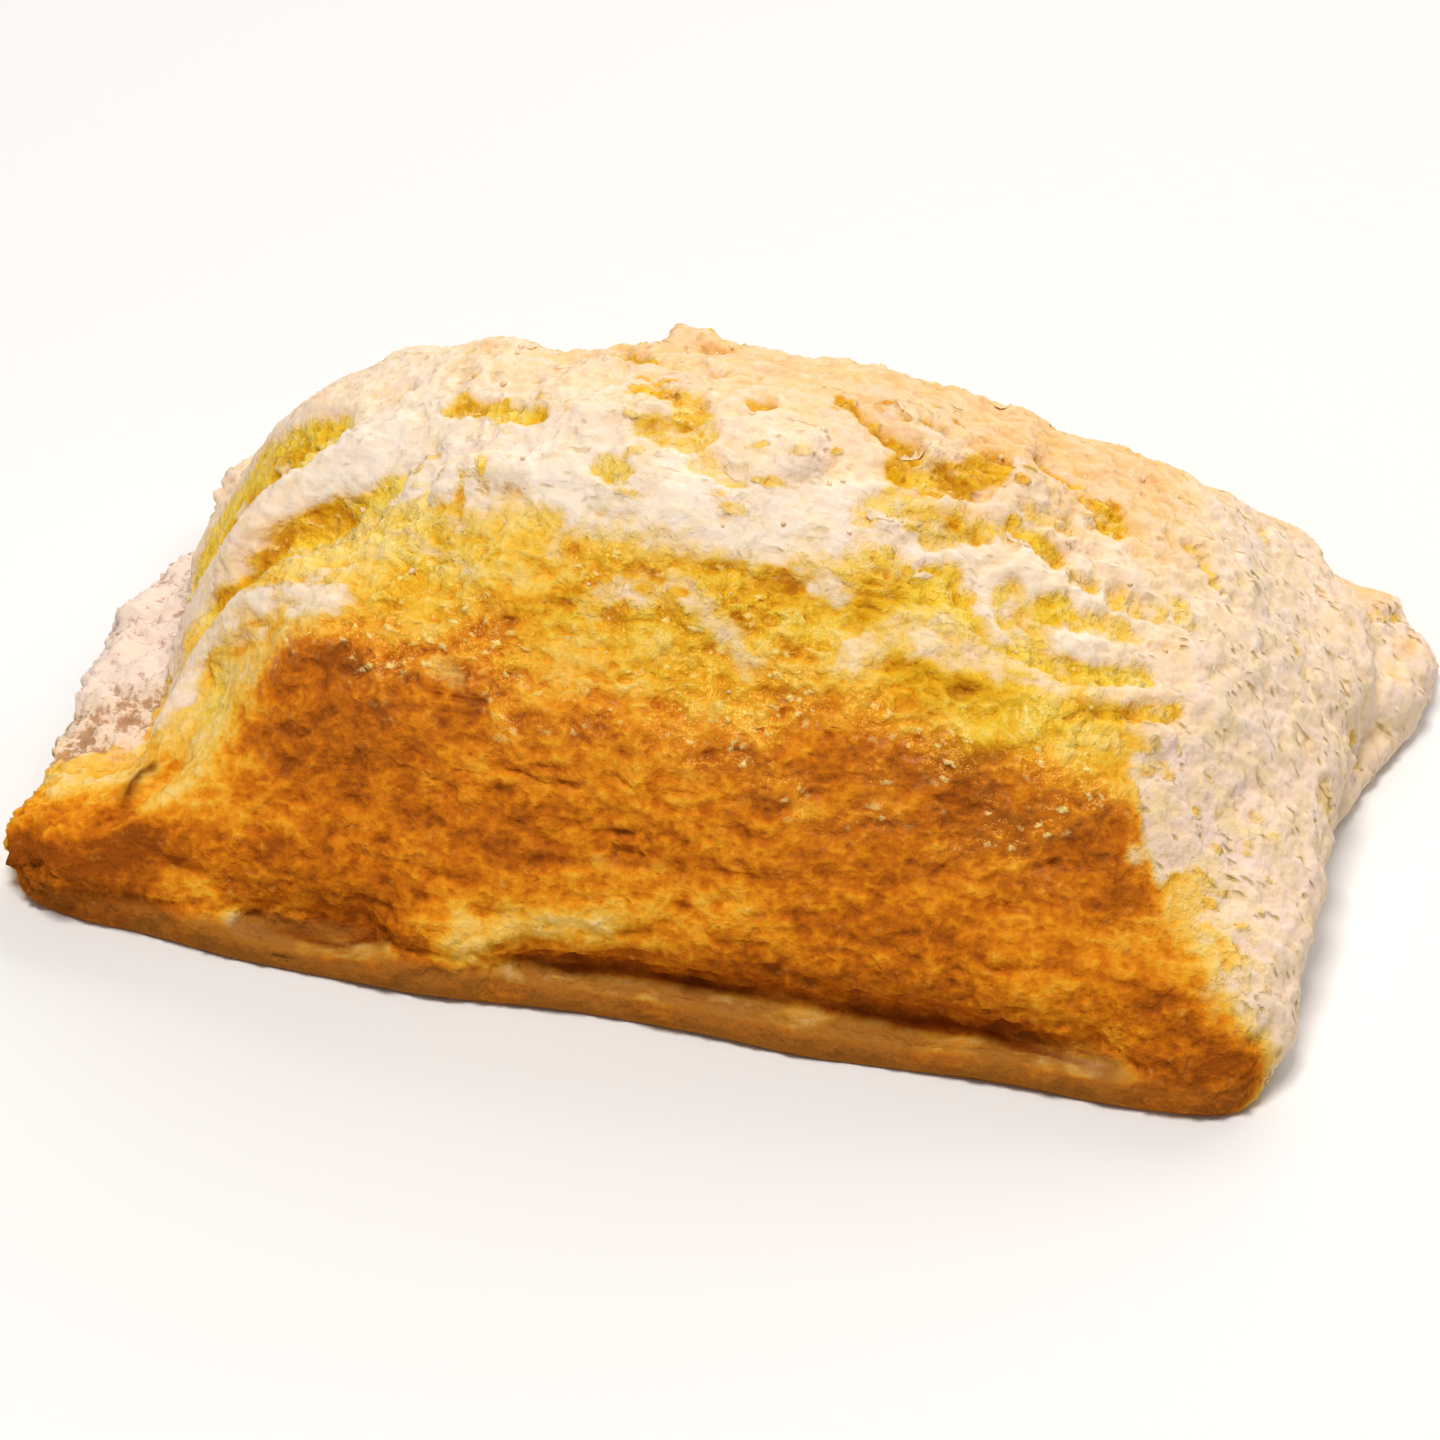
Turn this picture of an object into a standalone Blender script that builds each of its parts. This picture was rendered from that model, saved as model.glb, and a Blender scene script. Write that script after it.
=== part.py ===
"""Chicken pie: a rectangular pillow of puff pastry, closed on a foot sheet that shows as a lip along the front.

Run with  blender --background --python part.py  or from Blender's text editor.
Metres, +Z up. The length runs along X, the front faces -Y, and the origin is under the middle of the flat foot.
The named sizes are in millimetres.
"""
import math

import bmesh
import bpy
import numpy as np
from mathutils import Euler, Matrix, Vector, noise

MM = 0.001

# The foot sheet: its round corners, how far each side stands out between them, and how thick it is
CORNERS = {"front_left": (-63.4, -39.2), "front_right": (60.9, -40.8), "back_right": (67.0, 37.0),
           "back_left": (-63.2, 38.0)}
CORNER_ROUND = 6.5
SIDE_OUT = {"front": 42.7, "right": 60.8, "back": 42.3, "left": 67.5}
SIDE_REACH = {"front": 0.6, "right": 0.15, "back": 0.6, "left": 0.5}
SHEET_THICKNESS = 3.4
SHEET_EDGE_ROUND = 1.2

# The body: half its length and width at the foot, the height of its shoulder, how far each side leans in by there,
# and how far it bulges out low down
BODY_HALF = {"left": 53.8, "right": 60.0, "front": 37.8, "back": 38.0}
BODY_FOOT = 2.0
SHOULDER_HEIGHT = 31.5
LEAN = {"left": 16.0, "right": 15.5, "front": 13.0, "back": 14.0}
BULGE = {"left": 2.0, "right": 3.5, "front": 2.8, "back": 2.0}
BULGE_HEIGHT, BULGE_SPREAD = 9.0, 6.0
LEFT_SWELL = 7.6
CROWN = 13.2
BACK_RISE = 1.4
CORNER_PINCH = 0.28

# How far the body's foot is drawn out into the ear at each corner, as a share of the body's length and width
EAR_DRAW = {"front_left": (0.12, 0.02), "front_right": (0.02, 0.01), "back_right": (0.05, -0.01),
            "back_left": (0.0, 0.0)}
EAR_HEIGHT = 10.0

# Lobes that close the seam in the ears and along the left end, as (middle, length, width, height, turn)
LOBES = {
    "front_left_ear": ((-52.5, -31, 5), 26, 20, 10.5, 32),
    "front_right_ear": ((53, -31, 4.8), 24, 20, 10, -32),
    "back_right_ear": ((54, 28, 4.8), 28, 26, 10, 29),
    "back_left_ear": ((-55, 30, 4.2), 25, 22, 9, -31),
    "left_rim": ((-59.5, -7, 3.9), 52, 17, 8.4, 88),
    "front_left_seam": ((-47, -38, 3.6), 22, 7, 7.4, 0),
    "front_swelling": ((-18.0, -38.2, 5.8), 15, 7, 7, -3),
}

# Folds and creases as (line through these points, width, height); a height below zero is cut in
STROKES = {
    "front_left_crease": (((-43, -39.5, 5), (-34, -40.5, 3.6), (-26, -40, 3.8), (-16, -40, 5.2)), 1.1, -1.5),
    "front_crease": (((-22, -41, 4), (-8, -39.7, 3.8), (24, -39.3, 4), (38, -40, 4), (57, -40.8, 3.2)), 1.2, -1.8),
    "front_swelling": (((-27, -40, 7), (-12, -41, 7), (0, -40.5, 8)), 3.2, 1.2),
    "front_fold": (((-18, -36, 17), (-5, -37, 16.5), (10, -37, 15.5)), 1.8, -0.6),
    "left_front_ridge": (((-54, -31, 12), (-53, -24, 13.5), (-51, -17, 18), (-45, -17, 24), (-34, -15, 30)),
                         2.8, 2.0),
    "left_valley": (((-55, -12, 15), (-50, -11, 22), (-44, -9, 27.5), (-34, -8.5, 32)), 2.8, -2.1),
    "left_middle_ridge": (((-55, -8, 17), (-49, -6.5, 24.5), (-42, -0.5, 31), (-30, 2, 36.5)), 3.0, 2.0),
    "left_back_valley": (((-58, -2, 14), (-57, 3, 18), (-51, 3.5, 26), (-43, 5, 31.5)), 3.0, -2.0),
    "left_ear_slot": (((-54.5, -39, 8), (-53, -36, 10.5), (-51, -32.5, 13), (-47.5, -29, 16)), 1.3, -2.4),
    "right_ear_fold": (((58.5, 5, 18), (62, 8, 12), (63, 13, 7)), 1.6, -1.5),
    "top_groove": (((9, 10, 42), (17, 1, 42), (23, -4, 40)), 1.8, -0.9),
    "left_crown": (((-45, 16, 33), (-38, 16, 35), (-32, 15, 37), (-23, 15, 38.5)), 4.5, 1.9),
    "middle_crown": (((-23, 17, 38), (-17, 16, 39), (-8, 16.5, 39)), 4.0, 1.3),
    "back_crown": (((-6, 17, 40), (2, 17, 40), (12, 17, 39), (22, 20, 35), (30, 22, 31)), 6.0, 1.5),
    "right_crown_dip": (((28, 22, 31), (36, 22, 29), (43, 25, 26), (50, 29, 20)), 4.0, -0.9),
    "back_right_shoulder": (((42, 29, 26), (47, 31, 21), (52, 33, 15), (56, 35, 13)), 4.5, 2.4),
    "back_right_neck": (((52, 34, 14), (56, 34.5, 12.5), (59, 35, 12), (63, 34, 11)), 3.2, -1.9),
    "back_right_ear": (((59, 36, 8), (64, 36, 7), (68, 33, 6), (67, 28, 6)), 3.5, 0.9),
    "right_end_swelling": (((62, -10, 8), (62.5, -20, 8), (62, -27, 7), (60, -34, 7)), 5.0, 1.0),
    "left_rim_swelling": (((-67, -2, 5), (-67, 6, 5), (-67, 12, 5), (-65, 20, 5)), 4.0, 1.3),
    "front_left_ear": (((-66, -41, 3), (-66, -36, 5), (-64, -30, 7), (-62, -22, 8)), 3.5, 1.5),
}

# The share of a fold, crease or edge over which it fades out at either end
ENDS_SHARE = 0.22

# Edges of the upper layers, each a step of this height that faces the front
STEPS = {
    "upper_layer": (((-34, -10, 32), (-23, -10, 36), (-14, -10.5, 38), (-9, -13.5, 37.5), (2, -16.5, 36.5),
                     (15, -16, 36), (23, -21, 32.5), (34, -21, 31), (46, -19, 28)), 0.9),
    "middle_layer": (((-30, -18, 30), (-14, -21.5, 31.5), (-4, -19, 34), (7, -22.5, 32.5), (11, -25.5, 30),
                      (27, -27, 28.5)), 0.8),
}
STEP_WIDTH, STEP_RUN, STEP_PATCH = 2.0, 9.0, 7.0

# Pits where the upper layer broke away on top as (x, y, radius, depth), and blisters as (x, y, radius, height)
PITS = ((-11.5, 3, 4.0, 0.9), (-24, 2.5, 3.5, 0.7), (-6, 6, 3.0, 0.7), (-2, -7, 3.0, 0.7), (12, -4, 3.2, 0.9),
        (23, 0.5, 4.5, 1.0), (16.5, 1.5, 2.6, 0.8), (33, 9, 3.5, 0.8), (36.5, 2, 3.5, 0.8), (24.5, -10.5, 4.5, 0.8),
        (30, -13, 3.5, 0.7), (41, -6.5, 3.5, 0.6), (8, -18, 3.5, 0.8), (-39, -9, 4.0, 0.7))
BLISTERS = ((-7, -9, 2.6, 1.0), (-13, -2, 2.4, 0.9), (-7, -1.5, 2.2, 0.8), (9.5, -4.5, 2.6, 1.0), (5, 2.5, 3.0, 0.9),
            (13.5, 6.5, 3.0, 1.0), (30, 3, 3.0, 0.8), (46, 8, 4.5, 0.9), (-28, 12, 4.5, 1.0), (-45, 12, 5.0, 1.2))

# Unevenness all over as (wavelength, height), and the waves in the edge of the sheet
WAVES = ((17.0, 0.9), (6.5, 0.6), (3.2, 0.28))
EDGE_WAVE = (11.0, 0.9)

# Where the edge of the sheet stands out, or in below zero, as (x, y, radius, reach)
EDGE_BOWS = ((-28, -42, 13, 1.4), (-51, -42, 9, -1.3), (-10, -43, 6, 0.5), (16, -43, 7, 0.8), (42, -42, 8, -0.8),
             (61, -14, 8, 0.8), (-68, 9, 7, 1.2), (-67, -17, 12, -0.7), (-66, 32, 8, -0.6))

# Flakes that stand out of the crust as (x, y, sunk, length, width, curl, turn, pitch, roll)
FLAKES = {
    "back_flake": (-5.0, 16.8, -0.5, 12.0, 4.6, 1.0, 8, 15, 62),
    "shoulder_flake": (43.0, -19.5, 0.2, 11.0, 3.8, 0.4, 8, -2, 14),
    "crown_flake": (10.0, -4.0, 0.3, 6.5, 4.5, 0.4, 60, 8, 8),
    "left_flake": (-23.0, -9.5, 0.0, 9.0, 4.5, 0.8, -4, 6, 16),
    "right_flake": (27.0, 1.0, 0.0, 7.0, 4.0, 0.7, 30, 14, 12),
}
FLAKE_THICKNESS = 1.1

# Remeshing sizes, and the triangles that the finished solid keeps
FUSE_VOXEL = 0.8
FINISH_VOXEL = 0.55
KEPT_TRIANGLES = 11900
FOOT_TRIM = 0.35


def clear_scene():
    for obj in list(bpy.data.objects):
        bpy.data.objects.remove(obj)


def new_collection(name):
    collection = bpy.data.collections.new(name)
    bpy.context.scene.collection.children.link(collection)
    return collection


def add_object(name, data, collection):
    obj = bpy.data.objects.new(name, data)
    collection.objects.link(obj)
    return obj


def move_to(obj, collection):
    for linked in list(obj.users_collection):
        linked.objects.unlink(obj)
    collection.objects.link(obj)


def bezier_point(spline, index, place, along, reach):
    """One control point at place, its handles reach away to either side in the direction along."""
    point = spline.bezier_points[index]
    direction = Vector((math.cos(along), math.sin(along), 0)) * reach * MM
    point.co = Vector((place[0], place[1], 0)) * MM
    point.handle_left_type = point.handle_right_type = "FREE"
    point.handle_left = point.co - direction
    point.handle_right = point.co + direction


def foot_sheet(collection):
    """The bottom sheet: a flat outline with a round corner under each ear."""
    curve = bpy.data.curves.new("foot_outline", "CURVE")
    curve.dimensions = "2D"
    curve.fill_mode = "BOTH"
    curve.extrude = (SHEET_THICKNESS / 2 - SHEET_EDGE_ROUND) * MM
    curve.offset = -SHEET_EDGE_ROUND * MM
    curve.bevel_depth = SHEET_EDGE_ROUND * MM
    curve.bevel_resolution = 2
    curve.resolution_u = 10
    spline = curve.splines.new("BEZIER")
    spline.use_cyclic_u = True
    spline.bezier_points.add(2 * len(CORNERS) - 1)
    middles = {"front": (0, -1), "right": (1, 0), "back": (0, 1), "left": (-1, 0)}
    for turn, (corner, side) in enumerate(zip(CORNERS, middles)):
        heading = turn * math.pi / 2
        bezier_point(spline, 2 * turn, CORNERS[corner], heading - math.pi / 4, CORNER_ROUND)
        middle = [step * SIDE_OUT[side] for step in middles[side]]
        reach = (SIDE_OUT["left"] if middles[side][0] == 0 else SIDE_OUT["front"]) * SIDE_REACH[side]
        bezier_point(spline, 2 * turn + 1, middle, heading, reach)
    obj = add_object("foot_sheet", curve, collection)
    obj.location.z = SHEET_THICKNESS / 2 * MM
    return obj


def smooth_step(value, low, high):
    share = min(max((value - low) / (high - low), 0.0), 1.0)
    return share * share * (3 - 2 * share)


def body_half(side, share):
    """How far a side stands from the middle, in mm, at a share of the shoulder's height: it bulges, then leans in."""
    leaning = LEAN[side] * (1 - (1 - share ** 2.2) ** (1 / 1.5))
    above_bulge = (share * SHOULDER_HEIGHT - BULGE_HEIGHT) / BULGE_SPREAD
    return BODY_HALF[side] - leaning + BULGE[side] * math.exp(-above_bulge ** 2)


def body(collection):
    """The filled body: a box cage whose levels lean in on each side under a domed top, rounded by subdivision."""
    mesh = bpy.data.meshes.new("body")
    cage = bmesh.new()
    bmesh.ops.create_cube(cage, size=1.0)
    for axis, count in enumerate((14, 10, 9)):
        normal = Vector([float(axis == index) for index in range(3)])
        for step in range(1, count):
            bmesh.ops.bisect_plane(cage, geom=cage.verts[:] + cage.edges[:] + cage.faces[:],
                                   plane_co=normal * (step / count - 0.5), plane_no=normal)
    for vert in cage.verts:
        u, v, share = vert.co.x * 2, vert.co.y * 2, vert.co.z + 0.5
        end, flank = "right" if u > 0 else "left", "back" if v > 0 else "front"
        ear_x, ear_y = EAR_DRAW[f"{flank}_{end}"]
        height = share * SHOULDER_HEIGHT
        low = 1 - smooth_step(height, EAR_HEIGHT * 0.4, EAR_HEIGHT * 1.5)
        pinch = CORNER_PINCH * smooth_step(height, EAR_HEIGHT * 0.5, EAR_HEIGHT * 1.8)
        half_x = body_half(end, share)
        if end == "left":
            half_x += LEFT_SWELL * smooth_step(v, -0.7, 0.5)
        half_y = body_half(flank, share)
        x = u * half_x * (math.sqrt(1 - pinch * v * v) + ear_x * low * v ** 6)
        y = v * half_y * (math.sqrt(1 - pinch * u * u) + ear_y * low * u ** 6)
        z = BODY_FOOT + share * (SHOULDER_HEIGHT - BODY_FOOT + BACK_RISE * v)
        if share > 0.999:
            z += CROWN * (1 - u * u) * (1 - v * v)
        vert.co = Vector((x, y, z)) * MM
    cage.to_mesh(mesh)
    cage.free()
    obj = add_object("body", mesh, collection)
    rounding = obj.modifiers.new("rounding", "SUBSURF")
    rounding.levels = rounding.render_levels = 2
    return obj


def lobes(collection):
    """Fat lobes that close the seam in the ears and along the left end."""
    for name, (middle, length, width, height, turn) in LOBES.items():
        bpy.ops.mesh.primitive_uv_sphere_add(segments=32, ring_count=16, radius=0.5)
        lobe = bpy.context.object
        lobe.name = name
        move_to(lobe, collection)
        lobe.scale = Vector((length, width, height)) * MM
        lobe.rotation_euler.z = math.radians(turn)
        lobe.location = Vector(middle) * MM


def fuse(parts, name):
    """One even skin around the collection's overlapping bodies, which it replaces."""
    bpy.context.view_layer.update()
    graph = bpy.context.evaluated_depsgraph_get()
    joined = bmesh.new()
    for obj in list(parts.objects):
        shape = bpy.data.meshes.new_from_object(obj.evaluated_get(graph))
        shape.transform(obj.matrix_world)
        joined.from_mesh(shape)
        bpy.data.objects.remove(obj)
    mesh = bpy.data.meshes.new(name)
    joined.to_mesh(mesh)
    joined.free()
    obj = add_object(name, mesh, parts)
    even_skin(obj, FUSE_VOXEL)
    soften(obj, 3)
    return obj


def even_skin(obj, size):
    remesh = obj.modifiers.new("skin", "REMESH")
    remesh.mode = "VOXEL"
    remesh.voxel_size = size * MM
    apply_modifiers(obj)


def soften(obj, rounds):
    smooth = obj.modifiers.new("soften", "SMOOTH")
    smooth.factor = 0.5
    smooth.iterations = rounds
    apply_modifiers(obj)


def apply_modifiers(obj):
    graph = bpy.context.evaluated_depsgraph_get()
    mesh = bpy.data.meshes.new_from_object(obj.evaluated_get(graph))
    obj.modifiers.clear()
    obj.data = mesh


def get_points(obj):
    """The mesh's vertices as rows of x, y and z in mm."""
    places = np.empty(len(obj.data.vertices) * 3)
    obj.data.vertices.foreach_get("co", places)
    return places.reshape(-1, 3) / MM


def set_points(obj, points):
    obj.data.vertices.foreach_set("co", (points * MM).ravel())
    obj.data.update()


def nearest_on(points, line):
    """For each point: its offset from the nearest place on the line, the run's direction there, the share along."""
    line = np.array(line, dtype=float)
    runs = np.diff(line, axis=0)
    lengths = np.linalg.norm(runs, axis=1)
    reached = np.concatenate([[0.0], np.cumsum(lengths)]) / lengths.sum()
    offset = np.full(points.shape, 1e3)
    direction = np.zeros(points.shape)
    share = np.zeros(len(points))
    for index, run in enumerate(runs):
        along = np.clip((points - line[index]) @ run / lengths[index] ** 2, 0, 1)
        away = points - line[index] - along[:, None] * run
        closer = (away ** 2).sum(1) < (offset ** 2).sum(1)
        offset[closer] = away[closer]
        direction[closer] = run / lengths[index]
        share[closer] = (reached[index] + along * (reached[index + 1] - reached[index]))[closer]
    return offset, direction, share


def ends_fade(share):
    """0 at both ends of a line, 1 on all but the last ENDS_SHARE of it at either end."""
    kept = np.clip(np.minimum(share, 1 - share) / ENDS_SHARE, 0, 1)
    return kept * kept * (3 - 2 * kept)


def stroke_height(points, line, width, height):
    offset, _, share = nearest_on(points, line)
    return height * ends_fade(share) * np.exp(-(offset ** 2).sum(1) / width ** 2)


def step_height(points, line, height):
    """A layer's edge: up over STEP_WIDTH on the far side of the line, then gone again over STEP_RUN."""
    offset, direction, share = nearest_on(points, line)
    side = np.sign(direction[:, 0] * offset[:, 1] - direction[:, 1] * offset[:, 0])
    across = side * np.linalg.norm(offset, axis=1)
    rise = 1 / (1 + np.exp(-4 * across / STEP_WIDTH))
    rise *= 0.8 + 0.9 * np.array([noise.noise(Vector(point) / STEP_PATCH) for point in points])
    return height * ends_fade(share) * rise * np.exp(-np.maximum(across, 0) / STEP_RUN) * (across < 3 * STEP_RUN)


def spot_height(points, x, y, radius, height, softness):
    """A round rise or hollow on top, as crisp at its rim as softness says."""
    wobble = np.array([noise.noise(Vector(point) / 3.0) for point in points]) * 0.35
    away = np.hypot(points[:, 0] - x, points[:, 1] - y) / radius * (1 + wobble)
    return height / (1 + np.exp((away - 1) / softness)) * (points[:, 2] > SHOULDER_HEIGHT * 0.7)


def sculpt(obj):
    """Pushes the fused surface in and out along its normals: folds, layer edges, pits, blisters and unevenness."""
    points = get_points(obj)
    count = len(points)
    normals = np.empty(count * 3)
    obj.data.vertex_normals.foreach_get("vector", normals)
    normals = normals.reshape(-1, 3)
    height = np.zeros(count)
    for line, width, rise in STROKES.values():
        height += stroke_height(points, line, width, rise)
    for line, rise in STEPS.values():
        height += step_height(points, line, rise)
    for x, y, radius, depth in PITS:
        height += spot_height(points, x, y, radius, -depth, 0.12)
    for x, y, radius, rise in BLISTERS:
        height += spot_height(points, x, y, radius, rise, 0.3)
    for wavelength, rise in WAVES:
        shift = Vector((wavelength, 0, 0))
        height += rise * np.array([noise.noise(Vector(point) / wavelength + shift) for point in points])
    off_floor = np.clip((points[:, 2] - 0.8) / 2.0, 0, 1)
    points = points + normals * (height * off_floor)[:, None]
    low = np.clip(2 - 2 * points[:, 2] / (SHEET_THICKNESS * 1.5), 0, 1)
    wavelength, rise = EDGE_WAVE
    outward = points * (1, 1, 0) / np.maximum(np.hypot(points[:, 0], points[:, 1]), 1)[:, None]
    edge = rise * np.array([noise.noise(Vector((x, y, 9.0)) / wavelength) for x, y, _ in points])
    for x, y, radius, reach in EDGE_BOWS:
        edge += reach * np.exp(-((points[:, 0] - x) ** 2 + (points[:, 1] - y) ** 2) / radius ** 2)
    points += outward * (edge * low)[:, None]
    set_points(obj, points)


def flakes(crust, collection):
    """Thin curled plates of pastry with ragged outlines, each laid on the crust and half sunk in it."""
    for name, (x, y, sunk, length, width, curl, turn, pitch, roll) in FLAKES.items():
        above = Vector((x, y, 2 * SHOULDER_HEIGHT)) * MM
        _, place, normal, _ = crust.ray_cast(above, Vector((0, 0, -1)))
        bpy.ops.mesh.primitive_grid_add(x_subdivisions=8, y_subdivisions=4, size=1.0)
        flake = bpy.context.object
        flake.name = name
        move_to(flake, collection)
        for vert in flake.data.vertices:
            u, v = vert.co.x * 2, vert.co.y * 2
            ragged = 1 + 0.5 * noise.noise(Vector((u * 1.5, v * 1.5, length)))
            tapered = math.sqrt(1 - 0.7 * u * u)
            vert.co = Vector((u * length / 2 * ragged, v * width / 2 * ragged * tapered, curl * u * u)) * MM
        plate = flake.modifiers.new("plate", "SOLIDIFY")
        plate.thickness = FLAKE_THICKNESS * MM
        plate.offset = 0
        turned = Euler([math.radians(angle) for angle in (roll, pitch, turn)]).to_matrix()
        upright = Vector((0, 0, 1)).rotation_difference(normal).to_matrix()
        flake.matrix_world = Matrix.Translation(place - normal * sunk * MM) @ (upright @ turned).to_4x4()


def thin_out(obj, triangles):
    """Fewer triangles, as many as the finished solid may keep."""
    triangulate = obj.modifiers.new("triangulate", "TRIANGULATE")
    triangulate.quad_method = "BEAUTY"
    apply_modifiers(obj)
    decimate = obj.modifiers.new("decimate", "DECIMATE")
    decimate.ratio = triangles / len(obj.data.polygons)
    apply_modifiers(obj)


def unite(obj, collection):
    union = obj.modifiers.new("unite", "BOOLEAN")
    union.operation = "UNION"
    union.operand_type = "COLLECTION"
    union.collection = collection
    apply_modifiers(obj)
    for part in list(collection.objects):
        bpy.data.objects.remove(part)
    bpy.data.collections.remove(collection)


def flatten_foot(obj):
    """Trims the underside to one flat face to rest on, and puts the origin under the middle of the bounding box."""
    trimmed = bmesh.new()
    trimmed.from_mesh(obj.data)
    level = Vector((0, 0, min(vert.co.z for vert in trimmed.verts) + FOOT_TRIM * MM))
    everything = trimmed.verts[:] + trimmed.edges[:] + trimmed.faces[:]
    cut = bmesh.ops.bisect_plane(trimmed, geom=everything, plane_co=level, plane_no=(0, 0, -1), clear_outer=True)
    rim = [element for element in cut["geom_cut"] if isinstance(element, bmesh.types.BMEdge)]
    bmesh.ops.edgeloop_fill(trimmed, edges=rim)
    trimmed.to_mesh(obj.data)
    trimmed.free()
    points = get_points(obj)
    low, high = points.min(0), points.max(0)
    set_points(obj, points - ((low[0] + high[0]) / 2, (low[1] + high[1]) / 2, low[2]))


def crust_material():
    material = bpy.data.materials.new("baked_crust")
    material.use_nodes = True
    shader = material.node_tree.nodes["Principled BSDF"]
    shader.inputs["Base Color"].default_value = (0.66, 0.37, 0.12, 1.0)
    shader.inputs["Roughness"].default_value = 0.45
    shader.inputs["Metallic"].default_value = 0.0
    return material


def main():
    clear_scene()
    parts = new_collection("chicken_pie")
    foot_sheet(parts)
    body(parts)
    lobes(parts)
    pie = fuse(parts, "pie")
    sculpt(pie)
    soften(pie, 2)
    loose = new_collection("flakes")
    flakes(pie, loose)
    unite(pie, loose)
    even_skin(pie, FINISH_VOXEL)
    flatten_foot(pie)
    thin_out(pie, KEPT_TRIANGLES)
    pie.data.materials.append(crust_material())
    for face in pie.data.polygons:
        face.use_smooth = True


main()
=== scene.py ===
"""Looks of the chicken pie: its crust in fine relief, with browning, glaze, flour, flakes and crumbs.

Metres, +Z up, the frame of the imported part. The crust's functions and tables are in millimetres, and MM turns
them into metres. Camera, lights and floor are in metres.
"""
import math

import bmesh
import bpy
import numpy as np
from mathutils import Euler, Matrix, Vector
from mathutils.bvhtree import BVHTree


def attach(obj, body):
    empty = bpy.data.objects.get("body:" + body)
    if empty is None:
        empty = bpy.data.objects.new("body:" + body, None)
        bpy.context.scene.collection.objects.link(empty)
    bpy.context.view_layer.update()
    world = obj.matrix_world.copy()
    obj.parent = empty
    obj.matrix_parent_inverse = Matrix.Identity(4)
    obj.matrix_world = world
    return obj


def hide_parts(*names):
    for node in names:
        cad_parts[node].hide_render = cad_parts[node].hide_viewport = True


MM = 0.001
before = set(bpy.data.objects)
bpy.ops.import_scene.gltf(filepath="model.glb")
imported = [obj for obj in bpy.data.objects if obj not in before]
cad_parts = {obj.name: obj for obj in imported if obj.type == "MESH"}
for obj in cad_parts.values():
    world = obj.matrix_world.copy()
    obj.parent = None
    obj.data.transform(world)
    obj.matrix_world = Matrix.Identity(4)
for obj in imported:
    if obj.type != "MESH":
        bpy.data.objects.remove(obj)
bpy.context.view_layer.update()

# The photo's camera: its turn to the right and tilt down, in degrees, its distance and what it looks at, and
# its lens, sensor width and near limit
CAMERA_TURN, CAMERA_DOWN = 15.0, 35.1
CAMERA_DISTANCE = 0.507
CAMERA_TARGET = (0.0008, -0.0042, 0.0104)
CAMERA_LENS, CAMERA_SENSOR = 125.0, 36.0
CAMERA_NEAR = 0.01

# Each light's place, size, power and colour
LIGHTS = {
    "back_softbox": ((0.20, 0.85, 0.60), (1.0, 0.6), 6.0, (1.0, 0.94, 0.89)),
    "overhead": ((-0.03, -0.22, 0.83), (0.28, 0.28), 5.6, (1.0, 0.93, 0.84)),
}
WORLD_TONE, WORLD_STRENGTH = (1.0, 0.96, 0.90, 1.0), 0.23
FLOOR_SIZE, FLOOR_TONE, FLOOR_ROUGHNESS = 4.0, (0.86, 0.89, 0.94, 1), 0.9

# The crust's mesh: vertices closer than WELD are joined, SKIN is the length of its edges, FOOT is the slice
# cut off under it, and what lies below FOOT_BLEND is let down again onto the floor
WELD = 0.001
SKIN = 0.55
FOOT, FOOT_BLEND = 0.35, 3.0
SMOOTH_SHARE, SMOOTH_ROUNDS = 0.5, 4


# ---------------------------------------------------------------- noise fields
# Every field has a seed of its own, any whole number, so that no two fields are alike.

# Large numbers that mix a cell and a seed into a random key
CELL_KEYS, SEED_KEY, SHUFFLE_KEY = (73856093, 19349663, 83492791), 2654435, 1274126177
# What brings noise to about -1 to 1, how much fainter each octave is, and how far a seed lies off its cell's
# middle
NOISE_GAIN = 1.3
OCTAVE_FADE = 1.8
CELL_JITTER = 0.45


def mixed(cell, seed):
    """Three repeatable numbers from -1 to 1 for each whole-number cell."""
    across, along, up = CELL_KEYS
    key = cell[:, 0] * across ^ cell[:, 1] * along ^ cell[:, 2] * up ^ seed * SEED_KEY
    found = []
    for turn in range(3):
        key = (key ^ (key >> 13)) * SHUFFLE_KEY & 0x7FFFFFFF
        key = key ^ (key >> 16)
        found.append((key & 0xFFFF) / 32767.5 - 1)
    return np.stack(found, 1)


def noise(points, size, seed=0):
    """Smooth noise, about -1 to 1, that changes over the size; a size per axis stretches it."""
    points = points / size
    cell = np.floor(points).astype(np.int64)
    within = points - cell
    blend = within ** 3 * (within * (within * 6 - 15) + 10)
    total = np.zeros(len(points))
    for corner in range(8):
        step = np.array([corner >> axis & 1 for axis in range(3)])
        slope = (mixed(cell + step, seed) * (within - step)).sum(1)
        total += slope * np.where(step, blend, 1 - blend).prod(1)
    return total * NOISE_GAIN


def fractal(points, size, seed=0, octaves=3):
    """Noise with finer and fainter noise added, each octave at half the size."""
    size = np.asarray(size, float)
    return sum(noise(points, size / 2 ** octave, seed + octave) / OCTAVE_FADE ** octave
               for octave in range(octaves))


def sway(points, size, seeds, reach):
    """A move by noise for each point, up to about the reach."""
    return np.stack([noise(points, size, seed) for seed in seeds], 1) * reach


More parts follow.
